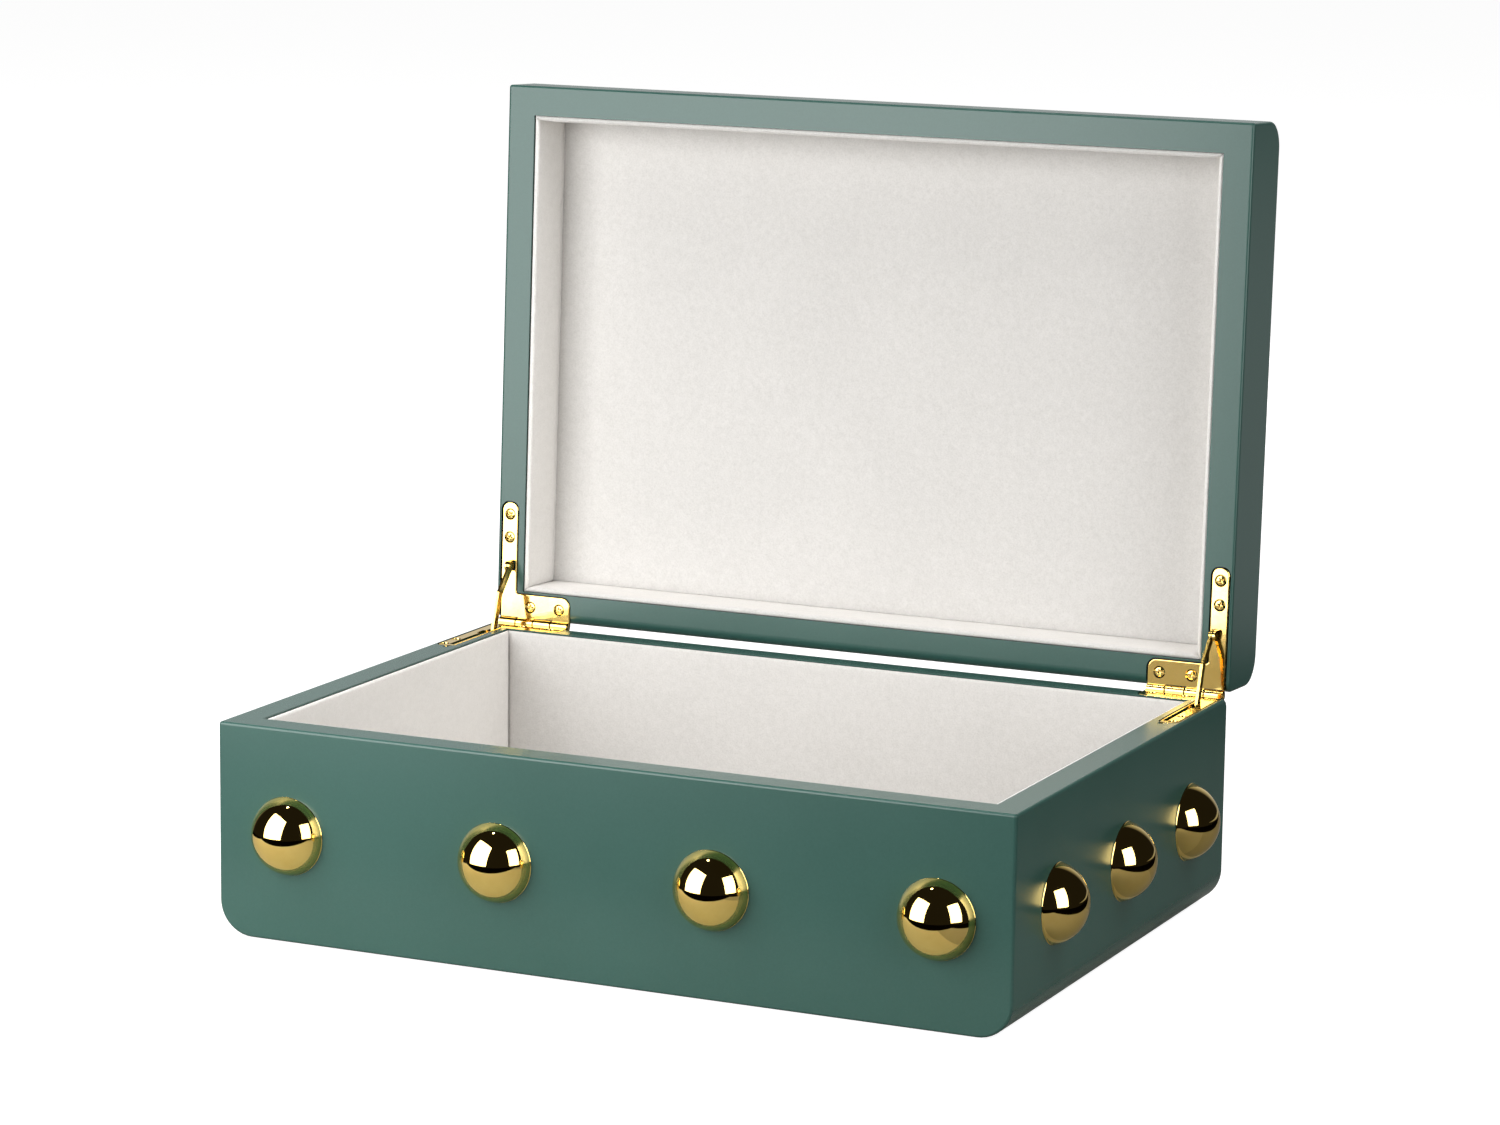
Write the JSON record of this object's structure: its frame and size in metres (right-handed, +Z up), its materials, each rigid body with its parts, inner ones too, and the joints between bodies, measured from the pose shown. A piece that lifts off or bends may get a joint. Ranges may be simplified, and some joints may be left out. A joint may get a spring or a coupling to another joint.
{
  "type": "jewellery box",
  "caption": "Rectangular lacquered wooden jewellery box with a velvet-lined tray, a hinged lined lid on quadrant stay hinges and polished dome studs.",
  "frame": {"origin": "centre of the underside, on the surface the box stands on", "axes": "+X to the right along the hinge line, +Y from the front face to the hinges, +Z up; stored with the lid open on its stays"},
  "size_m": [0.322, 0.2566, 0.2841],
  "materials": {
    "lacquer": "satin sage-green lacquer",
    "brass": "polished",
    "steel": "brass plated",
    "velvet": "short pile, off-white",
    "felt": "pressed felt"
  },
  "bodies": {
    "base": {"underside_felt": "felt", "base_bottom_panel": "lacquer", "base_front_board": "lacquer", "base_front_lining": "velvet", "base_right_board": "lacquer", "base_right_lining": "velvet", "base_rear_board": "lacquer", "base_rear_lining": "velvet", "base_left_board": "lacquer", "base_left_lining": "velvet", "front_studs": "brass", "left_studs": "brass", "right_studs": "brass", "base_floor_pad": "velvet", "left_base_leaf": "brass", "left_hinge_pin": "steel", "left_base_leaf_screws": "brass", "right_base_leaf": "brass", "right_hinge_pin": "steel", "right_base_leaf_screws": "brass"},
    "lid": {"lid_front_rail": "lacquer", "lid_front_lining": "velvet", "lid_right_rail": "lacquer", "lid_right_lining": "velvet", "lid_rear_rail": "lacquer", "lid_rear_lining": "velvet", "lid_left_rail": "lacquer", "lid_left_lining": "velvet", "lid_top_panel": "lacquer", "lid_pad": "velvet", "left_lid_leaf": "brass", "left_stay_rivet": "brass", "left_lid_leaf_screws": "brass", "right_lid_leaf": "brass", "right_stay_rivet": "brass", "right_lid_leaf_screws": "brass"},
    "left_stay": {"left_stay_arm": "brass"},
    "right_stay": {"right_stay_arm": "brass"}
  },
  "joints": [
    {"name": "lid_hinge", "type": "hinge", "parent": "base", "child": "lid", "pos_m": [0, 0.1042, 0.07695], "axis": [1, 0, 0], "range_deg": [0, 92.5]},
    {"name": "left_stay_pivot", "type": "hinge", "parent": "lid", "child": "left_stay", "pos_m": [-0.1433, 0.10296, 0.09903], "axis": [1, 0, 0], "range_deg": [-138.75, 0]},
    {"name": "right_stay_pivot", "type": "hinge", "parent": "lid", "child": "right_stay", "pos_m": [0.1433, 0.10296, 0.09903], "axis": [1, 0, 0], "range_deg": [-138.75, 0]}
  ],
  "couplings": [
    {"joint": "left_stay_pivot", "follows": "lid_hinge", "ratio": -1.5},
    {"joint": "right_stay_pivot", "follows": "lid_hinge", "ratio": -1.5}
  ]
}
